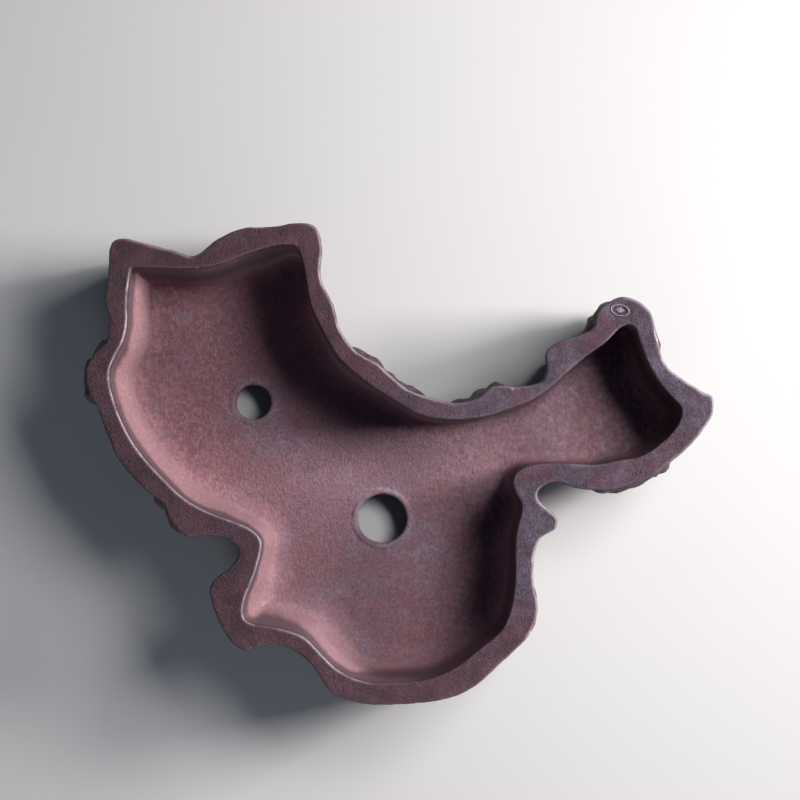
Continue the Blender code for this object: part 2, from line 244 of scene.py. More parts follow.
def resampled(field, xs, ys, new_x, new_y):
    """A 2-D field read at other places, which may be any arrays of one shape."""
    step = xs[1] - xs[0]
    fx = np.clip((new_x - xs[0]) / step, 0, len(xs) - 1.001)
    fy = np.clip((new_y - ys[0]) / step, 0, len(ys) - 1.001)
    i, j = fx.astype(int), fy.astype(int)
    tx, ty = fx - i, fy - j
    near = field[i, j] * (1 - tx) + field[i + 1, j] * tx
    far = field[i, j + 1] * (1 - tx) + field[i + 1, j + 1] * tx
    return near * (1 - ty) + far * ty


def both(a, b, radius):
    """Where both fields are negative, with the edge between them rounded."""
    corner = np.hypot(np.maximum(a + radius, 0), np.maximum(b + radius, 0))
    return np.minimum(-radius, np.maximum(a, b)) + corner


def either(a, b, reach):
    """Where either field is negative, with a soft valley between them."""
    h = np.maximum(reach - np.abs(a - b), 0) / reach
    return np.minimum(a, b) - h * h * reach / 4


CORNERS = [np.array((k & 1, k >> 1 & 1, k >> 2 & 1)) for k in range(8)]
EDGES = [(a, b) for a in range(8) for b in range(a + 1, 8) if bin(a ^ b).count("1") == 1]


def surface(field, origin, step):
    """The field's zero surface as vertices and quads facing out: one vertex in each cell that it crosses."""
    solid = field < 0
    count = sum(
        solid[c[0]:solid.shape[0] - 1 + c[0], c[1]:solid.shape[1] - 1 + c[1], c[2]:solid.shape[2] - 1 + c[2]]
        .astype(np.int8) for c in CORNERS
    )
    cells = np.argwhere((count > 0) & (count < 8))
    values = [field[tuple((cells + c).T)] for c in CORNERS]
    total = np.zeros((len(cells), 3))
    crossings = np.zeros(len(cells))
    for a, b in EDGES:
        crossed = (values[a] < 0) != (values[b] < 0)
        gap = np.where(crossed, values[a] - values[b], 1)
        t = np.where(crossed, values[a] / gap, 0)[:, None]
        total += np.where(crossed[:, None], CORNERS[a] + t * (CORNERS[b] - CORNERS[a]), 0)
        crossings += crossed
    vertices = (cells + total / crossings[:, None]) * step + origin
    number = np.full(count.shape, -1)
    number[tuple(cells.T)] = np.arange(len(cells))
    quads = []
    for axis in range(3):
        u, v = np.eye(3, dtype=int)[(axis + 1) % 3], np.eye(3, dtype=int)[(axis + 2) % 3]
        first = np.take(solid, range(0, solid.shape[axis] - 1), axis)
        second = np.take(solid, range(1, solid.shape[axis]), axis)
        for starts_solid in (True, False):
            edge = np.argwhere((first != second) & (first == starts_solid))
            edge = edge[(edge[:, (axis + 1) % 3] > 0) & (edge[:, (axis + 2) % 3] > 0)]
            ring = [edge - u - v, edge - v, edge, edge - u]
            quad = np.stack([number[tuple(cell.T)] for cell in ring], axis=1)
            quads.append(quad if starts_solid else quad[:, ::-1])
    return vertices, np.concatenate(quads)


def grid(low, high, step):
    return [np.arange(a, b + step, step) for a, b in zip(low, high)]


def as_points(axes):
    return np.stack(np.meshgrid(*axes, indexing="ij"), axis=-1)


# Making pieces

def add_piece(name, vertices, quads, materials, replaced, second=None, masks=None):
    """A smooth mesh in millimetres. second picks the faces of the second material; masks are per vertex."""
    mesh = bpy.data.meshes.new(name)
    mesh.vertices.add(len(vertices))
    mesh.vertices.foreach_set("co", (vertices * MM).astype(np.float32).ravel())
    mesh.loops.add(quads.size)
    mesh.loops.foreach_set("vertex_index", quads.astype(np.int32).ravel())
    mesh.polygons.add(len(quads))
    mesh.polygons.foreach_set("loop_start", np.arange(0, quads.size, 4, dtype=np.int32))
    for material in materials:
        mesh.materials.append(material)
    if second is not None:
        mesh.polygons.foreach_set("material_index", second.astype(np.int32))
    mesh.update(calc_edges=True)
    mesh.shade_smooth()
    for mask, values in (masks or {}).items():
        layer = mesh.attributes.new(mask, "FLOAT", "POINT")
        layer.data.foreach_set("value", values.astype(np.float32))
    piece = bpy.data.objects.new(name, mesh)
    bpy.context.scene.collection.objects.link(piece)
    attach(piece, BODY)
    if replaced:
        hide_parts(*replaced)


def nodes_named(*starts):
    return sorted(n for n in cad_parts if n.startswith(starts))


def make_fields():
    """The distances from the rim's two edges, on one flat grid."""
    loops = [outline(OUTER), outline(INNER)]
    low = loops[0].min(axis=0) - MARGIN
    high = loops[0].max(axis=0) + MARGIN
    xs, ys = grid(low, high, BASIN_STEP)
    return xs, ys, *(signed_distance(loop, xs, ys) for loop in loops)


XS, YS, FROM_OUTER, FROM_INNER = make_fields()


def wall_foot_sizes(x, y):
    """Fillet radius and draft at each place, blended from the nearest entries of WALL_FEET."""
    weight = fillet = draft = 0.0
    for px, py, radius, lean in WALL_FEET:
        w = 1 / ((x - px) ** 2 + (y - py) ** 2 + FEET_BLEND) ** 2
        weight, fillet, draft = weight + w, fillet + w * radius, draft + w * lean
    return fillet / weight, draft / weight


def outside_noise(points):
    """How far the rocky outside stands out: upright ribs, ledges, chips, and cracks that cut in."""
    bent = points + 5.0 * layered(points, 22.0, 5, 2)[..., None]
    ribs = ridged(bent * (1, 1, 0.45), 17.0, 3)
    ledges = ridged(bent * (0.5, 0.5, 1.3) + 40.0, 13.0, 11)
    cracks = np.maximum(0, ridged(bent * (1, 1, 0.6) + 90.0, 16.0, 17) - 0.70)
    chips = layered(points, 4.2, 23)
    return 1.7 * ribs + 1.3 * ledges + 0.8 * chips - 4.5 * cracks - 0.4


def scrape_marks(x, y, inside):
    """Three shallow arcs that follow the south wall, where a tool smoothed the fillet."""
    near = np.exp(-(((x - 26) / 16) ** 2 + ((y + 74) / 9) ** 2))
    return near * sum(0.45 * np.exp(-((inside - at) / 0.9) ** 2) for at in (8.0, 11.0, 14.0))


def smooth_step(x, low, high):
    t = np.clip((x - low) / (high - low), 0, 1)
    return t * t * (3 - 2 * t)


# Where pale blue-grey bloom lies on the floor, and where painted shadow darkens it: x, y, how far it
# reaches, and how strong it is.
BLOOMS = (
    (-55, 13, 12, 0.8), (-38, 4, 11, 0.4), (-20, -8, 9, 0.25), (-92, 63, 4, 1.0), (-62, 26, 11, 0.3),
    (9, -41, 9, 0.8), (14, -28, 9, 0.7), (2, -8, 8, 0.25), (-18, -32, 6, 0.5), (40, 12, 14, 0.4),
    (-100, 30, 8, 0.3), (-30, -62, 10, 0.3), (70, 14, 12, 0.3),
)
# Painted shadow: darker spots on the middle of the floor that lengthen the neck wall's shadow.
PAINTED_SHADE_SPOTS = ((4, 2, 17, 0.5), (-22, 10, 13, 0.25))
RING_OUT = 2.2
RING_WIDTH = 2.0

# The flat direction to the light, and how far painted shade reaches down the inside below the rim:
# the full reach on most walls, and less on those that face the light.
TO_LIGHT = (0.94, 0.34)
SHADE_REACH = 34.0
SHADE_REACH_LESS = 21.0


def patches(spots, x, y):
    """Soft round patches, where each spot is a place, a reach and a strength."""
    return sum(share * np.exp(-((x - sx) ** 2 + (y - sy) ** 2) / far ** 2) for sx, sy, far, share in spots)


def bloom_mask(x, y):
    """The share of bloom on the floor: its patches, and a ring round each drain."""
    rings = 0.0
    for hx, hy, radius in DRAINS.values():
        rings = rings + np.exp(-((np.hypot(x - hx, y - hy) - radius - RING_OUT) / RING_WIDTH) ** 2)
    return np.minimum(patches(BLOOMS, x, y) + rings, 1.0)


def facing_light(field, vertices):
    """How squarely the side that a distance field rises towards looks at the light, from -1 to 1."""
    east, north = (
        resampled(slope, XS, YS, vertices[:, 0], vertices[:, 1]) for slope in np.gradient(field, BASIN_STEP)
    )
    return TO_LIGHT[0] * east + TO_LIGHT[1] * north


def lip_shade(vertices):
    """How far painted shade reaches down the inside below the rim, as a share: least on the walls that face
    the light.
    """
    towards_light = smooth_step(facing_light(-FROM_INNER, vertices), 0.35, 0.8)
    reach = SHADE_REACH - SHADE_REACH_LESS * towards_light + 3.0 * layered(vertices * (1, 1, 0.3), 12.0, 41, 2)
    return smooth_step(vertices[:, 2], RIM_LOW - reach, RIM_LOW - 0.55 * reach)


def floor_level(flat):
    """Height of the floor: slow waves, a dish round each drain, and scrape marks."""
    x, y = flat[..., 0], flat[..., 1]
    level = FLOOR_HIGH + 0.30 * layered(flat, 34.0, 61, 2) + 0.12 * layered(flat, 8.0, 71, 2)
    for hx, hy, _ in DRAINS.values():
        level = level - DISH_DEPTH * np.exp(-(np.hypot(x - hx, y - hy) / DISH_REACH) ** 2)
    return level - scrape_marks(x, y, -resampled(FROM_INNER, XS, YS, x, y))


def make_basin(inside_clay, outside_clay):
    """Floor and walls as one body of fired clay, with the drain holes through it."""
    zs = np.arange(FLOOR_LOW - 2.0, RIM_LOW + 4.0, BASIN_STEP)
    x, y = XS[:, None], YS[None, :]
    fillet, draft = wall_foot_sizes(x, y)
    flat = as_points((XS, YS, [0.0]))[:, :, 0]
    wander = 0.35 * layered(flat, 30.0, 51, 2)
    level = floor_level(flat)
    up = np.clip((zs - FLOOR_HIGH) / (RIM_LOW - FLOOR_HIGH), 0, 1)
    inset = draft[..., None] * (1 - up) ** DRAFT_CURVE - RIM_OVERHANG * up ** 2 + wander[..., None]
    hollow = both(FROM_INNER[..., None] + inset, level[..., None] - zs, fillet[..., None])
    outside = FROM_OUTER[..., None] + SETBACK + TAPER * (1 - up) ** 2
    close = np.argwhere((np.abs(outside) < RELIEF_REACH) & (FROM_INNER[..., None] > -1))
    spots = np.stack([XS[close[:, 0]], YS[close[:, 1]], zs[close[:, 2]]], axis=-1)
    outside[tuple(close.T)] -= outside_noise(spots)
    tucked_in = TUCK * smooth_step(zs, *(RIM_LOW - below for below in TUCK_SPAN)) - PROUD
    outside = np.maximum(outside, FROM_OUTER[..., None] + tucked_in)
    body = both(outside, FLOOR_LOW - zs, BASE_ROUNDING)
    core = both(FROM_INNER[..., None] - THINNEST_WALL, FLOOR_LOW - zs, BASE_ROUNDING)
    body = np.minimum(body, np.maximum(core, FROM_OUTER[..., None] + CORE_SETBACK))
    body = np.maximum(body, zs - (RIM_LOW + ROOT_IN_RIM))
    body = np.maximum(body, -hollow)
    for hx, hy, radius in DRAINS.values():
        from_axis = np.hypot(x - hx, y - hy)[..., None]
        body = both(body, radius + COLLAR_GAP - from_axis, DRAIN_ROUNDING)
    vertices, quads = surface(body, (XS[0], YS[0], zs[0]), BASIN_STEP)
    apart = resampled(FROM_INNER, XS, YS, vertices[:, 0], vertices[:, 1])
    masks = {
        "bloom": bloom_mask(vertices[:, 0], vertices[:, 1]),
        "wall": smooth_step(vertices[:, 2], FLOOR_HIGH + 2.0, FLOOR_HIGH + 6.0),
        # The lip share is painted shade: below the rim, and the painted shadow spots on the floor.
        "lip": np.maximum(lip_shade(vertices), patches(PAINTED_SHADE_SPOTS, vertices[:, 0], vertices[:, 1])),
    }
    outer = ((apart > INSIDE_REACH) | (vertices[:, 2] < FLOOR_LOW + BASE_HEIGHT))[quads].all(axis=1)
    clays = [inside_clay, outside_clay]
    replaced = nodes_named("floor_", "wall_", "coil_")
    add_piece("basin", vertices, quads, clays, replaced, outer, masks)


def make_collar(name, hx, hy, radius, material):
    """The smooth wall of one drain hole, with the lip that the cutter raised round it."""
    span = radius + COLLAR_SPAN
    low = (hx - span, hy - span, FLOOR_LOW - 1.0)
    xs, ys, zs = grid(low, (hx + span, hy + span, FLOOR_HIGH + 2.0), COLLAR_STEP)
    flat = as_points((xs, ys, [0.0]))[:, :, 0]
    apart = np.hypot(flat[..., 0] - hx, flat[..., 1] - hy) + 0.12 * noise(flat, 5.0, 131)
    top = floor_level(flat) + 0.05 + COLLAR_RISE * np.exp(-(apart - radius - 1.3) ** 2)
    top = top + 0.05 * layered(flat, 2.4, 133, 2) - 0.5 * smooth_step(apart, radius + 2.6, radius + 4.2)
    slab = np.maximum(zs - top[..., None], FLOOR_LOW + 0.4 - zs)
    ring = both(radius - apart[..., None], slab, 0.8)
    ring = np.maximum(ring, apart[..., None] - radius - COLLAR_WIDTH)
    vertices, quads = surface(ring, low, COLLAR_STEP)
    masks = {"bloom": np.minimum(bloom_mask(vertices[:, 0], vertices[:, 1]) + 0.6, 1.0)}
    add_piece(name, vertices, quads, [material], [], masks=masks)


# The potter's stamp is a plain oval here: its centre, half length, half width and turn.
STAMP = (92.0, 62.8, 4.6, 2.8, math.radians(-12))
STAMP_ROOT = 1.6


def in_stamp(x, y):
    """Places in the stamp's own frame, where the oval's edge is at radius 1."""
    cx, cy, length, width, turn = STAMP
    along = (x - cx) * math.cos(turn) + (y - cy) * math.sin(turn)
    across = (y - cy) * math.cos(turn) - (x - cx) * math.sin(turn)
    return along / length, across / width


def stamp_depth(x, y):
    a, b = in_stamp(x, y)
    return 0.22 * (1 - np.tanh((np.hypot(a, b) - 1.0) * 7))


def stamp_relief(a, b):
    """A plain device inside the oval: a border and a lozenge, in millimetres above the stamp's floor."""
    border = np.exp(-((np.hypot(a, b) - 0.80) / 0.10) ** 2)
    lozenge = 0.5 * (1 - np.tanh((np.abs(a) + np.abs(b) - 0.44) * 12))
    return 0.42 * np.maximum(border, lozenge)


def make_rim(material):
    """The flat band on top, with soft arrises and a lip that overhangs the hollow."""
    xs, ys = grid((XS[0], YS[0]), (XS[-1], YS[-1]), RIM_STEP)
    zs = np.arange(RIM_LOW - 1.5, RIM_HIGH + 2.0, RIM_STEP)
    flat = as_points((xs, ys, [0.0]))[:, :, 0]
    outer = resampled(FROM_OUTER, XS, YS, flat[..., 0], flat[..., 1])
    inner = resampled(FROM_INNER, XS, YS, flat[..., 0], flat[..., 1])
    outer = outer - 0.30 * layered(flat, 7.0, 81, 2) - 0.12 * noise(flat, 2.3, 85)
    inner = inner + 0.12 * layered(flat, 9.0, 91, 2)
    top = RIM_HIGH - 0.25 + 0.12 * layered(flat, 16.0, 101, 2) + 0.14 * layered(flat, 6.5, 105, 2)
    top = top - stamp_depth(flat[..., 0], flat[..., 1])
    slab = np.maximum(zs - top[..., None], RIM_LOW - zs)
    brow_side = both(outer[..., None], slab, BROW_ROUNDING)
    lip_side = both(-inner[..., None], slab, LIP_ROUNDING)
    rim = np.maximum(brow_side, lip_side)
    vertices, quads = surface(rim, (xs[0], ys[0], zs[0]), RIM_STEP)
    from_outer, from_inner, height = (
        resampled(field, xs, ys, vertices[:, 0], vertices[:, 1]) for field in (-outer, inner, top)
    )
    below = height - vertices[:, 2]
    brow = 1 - smooth_step(np.maximum(from_outer, below), *BROW_WEAR_AND_GLINT)
    lip = 1 - smooth_step(np.maximum(from_inner, below), *LIP_WEAR_AND_GLINT)
    # Painted highlight: the pale worn edge is kept mostly where the edge faces the light.
    brow *= 0.2 + 0.8 * smooth_step(facing_light(FROM_OUTER, vertices), 0.2, 0.7)
    lip *= 0.15 + 0.85 * smooth_step(facing_light(-FROM_INNER, vertices), 0.3, 0.8)
    masks = {"arris": np.maximum(brow, lip)}
    add_piece("rim_band", vertices, quads, [material], nodes_named("rim_"), masks=masks)


def make_stamp(material):
    """The stamped mark as its own small button of clay, set into the oval hollow in the rim."""
    cx, cy, length, width, _ = STAMP
    low = (cx - length - 1, cy - length - 1, RIM_HIGH - STAMP_ROOT - 1)
    axes = grid(low, (cx + length + 1, cy + length + 1, RIM_HIGH + 1), STAMP_STEP)
    points = as_points(axes)
    a, b = in_stamp(points[..., 0], points[..., 1])
    top = RIM_HIGH - 0.55 + stamp_relief(a, b) + 0.05 * noise(points, 0.9, 121)
    button = np.maximum(points[..., 2] - top, RIM_HIGH - STAMP_ROOT - points[..., 2])
    button = both((np.hypot(a, b) - 0.97) * width, button, 0.3)
    vertices, quads = surface(button, low, STAMP_STEP)
    raised = smooth_step(vertices[:, 2], RIM_HIGH - 0.38, RIM_HIGH - 0.2)
    add_piece("rim_stamp", vertices, quads, [material], [], masks={"arris": 0.7 * raised})


def place(u, outwards, z):
    """A spot beside the rim's outline: outwards counts from the outer edge."""
    outer, inner = on_curve(OUTER, u), on_curve(INNER, u)
    spot = outer + (outer - inner).normalized() * outwards
    return np.array((spot.x, spot.y, z))


# The lumps: first and last u and how far each stands proud of the rim's outer edge.
ROCKS = {
    "north_ledge": (1.5, 5.0, -0.8),
    "north_crag": (5.5, 8.4, -1.0),
    "shoulder_crag": (10.8, 13.5, -1.2),
    "neck_ridge": (14.0, 17.0, 2.8),
    "neck_ledge": (17.5, 20.5, 2.4),
    "arm_crag": (26.5, 30.0, 0.9),
    "arm_side_crag": (32.0, 35.5, 2.0),
    "arm_boulder": (40.2, 43.2, 2.8),
    "south_east_ridge": (53.0, 56.5, 0.2),
    "south_ledge": (57.5, 61.0, -0.8),
    "south_west_ridge": (62.0, 65.5, -0.6),
    "west_boulder": (75.5, 78.0, 3.4),
    "west_ledge": (78.5, 81.0, -0.4),
    "north_west_boulder": (81.5, 84.7, 6.2),
    "north_west_ledge": (86.0, 89.0, -0.6),
}

# Half the size of a blob: its depth in millimetres, and its length as a share of the lump's. Each cut
# leans up to CUT_LEAN sideways and upwards, and lies at a share of the blob's depth.
BLOBS_PER_ROCK = 6
BLOB_DEPTHS = (4.2, 6.4)
BLOB_LENGTHS = (0.20, 0.30)
BLOB_JOIN = 2.0
CUTS_PER_BLOB = 3
CUT_LEAN = 0.9
CUT_DEPTHS = (0.60, 0.95)
CUT_ROUNDING = 0.7


def chiselled(blob, local, depth, chance):
    """Flat faces broken off a blob, each by a plane that leans away from straight out."""
    for _ in range(CUTS_PER_BLOB):
        sideways, upwards = chance.uniform(-CUT_LEAN, CUT_LEAN), chance.uniform(-CUT_LEAN, CUT_LEAN)
        facing = np.array((sideways, -1.0, upwards))
        facing /= np.linalg.norm(facing)
        blob = both(blob, local @ facing - depth * chance.uniform(*CUT_DEPTHS), CUT_ROUNDING)
    return blob


def rock_blobs(first, last, proud, bottom, top, chance):
    """Centres, frames and half sizes of a lump's blobs. Frame rows: along the wall, inward, up."""
    height = top - bottom
    length = (on_curve(OUTER, last) - on_curve(OUTER, first)).length
    centres, frames, sizes = [], [], []
    for k in range(BLOBS_PER_ROCK):
        share = (k + 0.5) / BLOBS_PER_ROCK
        u = first + (last - first) * (0.12 + 0.76 * share)
        side = on_curve(OUTER, u + 0.3) - on_curve(OUTER, u - 0.3)
        side = np.array((*side.normalized(), 0.0))
        depth = chance.uniform(*BLOB_DEPTHS)
        reach = proud * chance.uniform(0.55, 1.0) if proud > 0 else proud * chance.uniform(1.0, 1.6)
        z = (bottom + top) / 2 + height * 0.30 * math.sin(2.4 * k + chance.uniform(-0.5, 0.5))
        centres.append(place(u, reach - depth, z))
        frames.append(np.array((side, (side[1], -side[0], 0.0), (0.0, 0.0, 1.0))))
        tall = min(top - z, z - bottom) * 0.6 + height * chance.uniform(0.14, 0.2)
        sizes.append((length * chance.uniform(*BLOB_LENGTHS), depth, min(tall, top - z)))
    return centres, frames, sizes, max(length * 0.5, 9.0)


def ellipsoid(local, size):
    """About the distance from an ellipsoid, in its own frame."""
    near = np.sqrt(((local / size) ** 2).sum(axis=-1))
    steep = np.sqrt(((local / np.square(size)) ** 2).sum(axis=-1)) + 1e-6
    return near * (near - 1) / steep


def make_rock(name, first, last, proud, material):
    """A broken lump: chiselled blobs along the wall, joined, with ridges and chips in their surface."""
    chance = random.Random(name)
    low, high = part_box("rock_" + name)
    bottom, top = low.z / MM, high.z / MM
    centres, frames, sizes, reach = rock_blobs(first, last, proud, bottom, top, chance)
    box_low = np.min(centres, axis=0) - (reach, reach, 0)
    box_high = np.max(centres, axis=0) + (reach, reach, 0)
    box_low[2], box_high[2] = bottom - 3, top + 3
    points = as_points(grid(box_low, box_high, ROCK_STEP))
    rock = None
    for centre, turned, size in zip(centres, frames, sizes):
        local = (points - centre) @ turned.T
        blob = chiselled(ellipsoid(local, size), local, size[1], chance)
        rock = blob if rock is None else either(rock, blob, BLOB_JOIN)
    seed = 200 + 7 * len(name)
    close = np.abs(rock) < 5
    spots = points[close]
    bent = spots + 3.0 * layered(spots, 11.0, seed + 5, 2)[..., None]
    rock[close] -= 1.7 * ridged(bent * (1, 1, 0.6), 13.0, seed) + 0.9 * ridged(bent, 4.5, seed + 3) - 0.6
    clear = resampled(FROM_INNER, XS, YS, points[..., 0], points[..., 1])
    rock = np.maximum(rock, THINNEST_WALL - clear)
    rock = np.maximum(rock, points[..., 2] - (RIM_LOW + 0.6))
    vertices, quads = surface(rock, box_low, ROCK_STEP)
    add_piece("rock_lump_" + name, vertices, quads, [material], ["rock_" + name])


def make_foot(node, material):
    """A low cloud-shaped pad with three soft lobes, its edge rolled and its top set into the floor."""
    low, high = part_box(node)
    centre = (low + high) / 2 / MM
    radius = (high.x - low.x) / 2 / MM - 1.0
    phase = 0.02 * (centre.x - centre.y)
    span = radius + 3
    low_corner = (centre.x - span, centre.y - span, -1.5)
    points = as_points(grid(low_corner, (centre.x + span, centre.y + span, FOOT_TOP + 3), FOOT_STEP))
    dx, dy, z = points[..., 0] - centre.x, points[..., 1] - centre.y, points[..., 2]
    lobed = radius * (0.94 + 0.08 * np.cos(3 * np.arctan2(dy, dx) + phase)) + 0.06 * z
    foot = both(np.hypot(dx, dy) - lobed, np.maximum(-z, z - (FOOT_TOP + 1.5)), 1.4)
    close = (np.abs(foot) < 2) & (z > 0.8)
    foot[close] -= 0.22 * layered(points[close], 4.0, 301)
    vertices, quads = surface(foot, low_corner, FOOT_STEP)
    add_piece(node + "_pad", vertices, quads, [material], [node])


# Materials

class Nodes:
    """A few short ways to add shader nodes to one tree."""

    def __init__(self, tree, coordinates):
        self.tree = tree
        self.place = self.add("ShaderNodeTexCoord").outputs[coordinates]

    def add(self, kind, **inputs):
        node = self.tree.nodes.new(kind)
        for name, value in inputs.items():
            self.put(node.inputs[name.replace("_", " ")], value)
        return node

    def put(self, socket, value):
        if isinstance(value, bpy.types.NodeSocket):
            self.tree.links.new(value, socket)
        else:
            socket.default_value = value

    def along(self, axis):
        """How far along one axis each point lies."""
        return self.add("ShaderNodeSeparateXYZ", Vector=self.place).outputs[axis]

    def clouds(self, size, detail=4.0, roughness=0.55, stretch=None, offset=0.0):
        """Noise from 0 to 1 with lumps of about size metres."""
        where = self.place
        if stretch:
            where = self.add("ShaderNodeMapping", Vector=where, Scale=stretch).outputs["Vector"]
        if offset:
            shift = self.add("ShaderNodeMapping", Vector=where, Location=(offset, offset, offset))
            where = shift.outputs["Vector"]
        node = self.add(
            "ShaderNodeTexNoise", Vector=where, Scale=1 / size, Detail=detail, Roughness=roughness
        )
        return node.outputs["Fac"]

    def mask(self, name):
        """A share that the mesh keeps at each of its vertices."""
        node = self.add("ShaderNodeAttribute")
        node.attribute_name = name
        return node.outputs["Fac"]

    def fade(self, value, low, high, start=0.0, end=1.0):
        """From start to end in a straight line, while value goes from low to high."""
        node = self.add("ShaderNodeMapRange", Value=value, From_Min=low, From_Max=high)
        self.put(node.inputs["To Min"], start)
        self.put(node.inputs["To Max"], end)
        return node.outputs["Result"]

    def ramp(self, value, low, high):
        """From 0 to 1, with soft ends."""
        node = self.add("ShaderNodeMapRange", Value=value, From_Min=low, From_Max=high)
        node.interpolation_type = "SMOOTHSTEP"
        return node.outputs["Result"]

    def maths(self, kind, a, b):
        node = self.tree.nodes.new("ShaderNodeMath")
        node.operation = kind
        self.put(node.inputs[0], a)
        self.put(node.inputs[1], b)
        return node.outputs[0]

    def plus(self, a, b):
        return self.maths("ADD", a, b)

    def minus(self, a, b):
        return self.maths("SUBTRACT", a, b)

    def times(self, a, b):
        return self.maths("MULTIPLY", a, b)

    def mix(self, share, a, b, blend="MIX"):
        node = self.tree.nodes.new("ShaderNodeMix")
        node.data_type = "RGBA"
        node.blend_type = blend
        self.put(node.inputs["Factor"], share)
        self.put(node.inputs[6], a if isinstance(a, bpy.types.NodeSocket) else (*a, 1))
        self.put(node.inputs[7], b if isinstance(b, bpy.types.NodeSocket) else (*b, 1))
        return node.outputs[2]


def new_material(name):
    """A material, its shader, and the way to add nodes to it."""
    material = bpy.data.materials.new(name)
    material.use_nodes = True
    tree = material.node_tree
    return material, tree.nodes["Principled BSDF"], Nodes(tree, "Object")


@dataclass
class Clay:
    """The colours and surface of one unglazed clay. Its spans are in metres."""
    ground: tuple
    rust: tuple
    cool: tuple
    bloom: tuple
    west: tuple = None
    east: tuple = None
    south: tuple = None
    east_span: tuple = (-0.11, 0.13)
    worn_and_highlight: tuple = None
    masks: bool = False
    rough: float = 0.62
    gloss: float = 0.3
    fine: float = 1.0
    grit: float = 0.7
    coarse: float = 1.0
    patchy: float = 0.0


# ground is the clay itself, rust and cool are its speckle, and bloom is the pale film on it. west,
# east and south are the ground at those ends: on the basin and the rim they are painted light, lighter
# where the lamps and their bounce fall more strongly, and the rim's east end is also the clay's own
# bluer grey. The pale edge colour is partly wear that hands have polished and partly a painted
# highlight on the edges that face the light. masks says that the mesh has the shares bloom, wall and
# lip. rough and gloss are the surface's roughness and specular level. fine, grit and coarse are how
# strong its relief is at three sizes, and patchy is how uneven its tone is.
# The basin's west and east grounds are painted light: lighter where its walls face the lamps and where the
# lamps stand nearer.
BASIN_CLAY = Clay(
    ground=(0.128, 0.066, 0.082), rust=(0.186, 0.072, 0.079), cool=(0.114, 0.068, 0.104),
    bloom=(0.200, 0.165, 0.220), west=(0.290, 0.140, 0.156), east=(0.272, 0.170, 0.195),
    east_span=(-0.07, 0.11), masks=True, fine=1.1, grit=0.9,
)
# The rim's south and east grounds are lighter, painted light where the bounce and the nearer lamps fall
# more; the east one is also the clay's own bluer grey.
RIM_CLAY = Clay(
    ground=(0.0350, 0.0165, 0.0235), rust=(0.058, 0.0165, 0.0195), cool=(0.030, 0.0170, 0.0290),
    bloom=(0.058, 0.043, 0.060), east=(0.056, 0.048, 0.074), south=(0.062, 0.028, 0.039),
    east_span=(-0.02, 0.055), worn_and_highlight=(0.18, 0.14, 0.16), rough=0.60, gloss=0.2, fine=0.9, grit=1.4,
    coarse=0.45, patchy=0.3,
)
ROCK_CLAY = Clay(
    ground=(0.036, 0.021, 0.027), rust=(0.058, 0.023, 0.024), cool=(0.034, 0.024, 0.037),
    bloom=(0.064, 0.054, 0.072), worn_and_highlight=(0.085, 0.064, 0.076), fine=1.4, grit=1.0, coarse=2.0, patchy=0.35,
)
FOOT_CLAY = Clay(
    ground=(0.048, 0.029, 0.037), rust=(0.072, 0.032, 0.034), cool=(0.044, 0.030, 0.045),
    bloom=(0.080, 0.070, 0.094), coarse=1.2,
)

# The inside walls' tone, lighter than the floor: partly their own clay and partly painted light that
# brightens them; and the dark painted shade below the lip.
WALL_TONE_AND_LIGHT = (0.232, 0.134, 0.146)
PAINTED_SHADE_TONE = (0.052, 0.031, 0.039)
PIT_TONE = (0.02, 0.012, 0.014)
# Painted light: where the basin's west end and the rim's south end turn to their lighter grounds, in metres.
WEST_SPAN = (-0.04, -0.09)
SOUTH_SPAN = (-0.055, -0.09)
BUMP_DEPTH = 0.0006
PITS_PER_METRE = 110.0


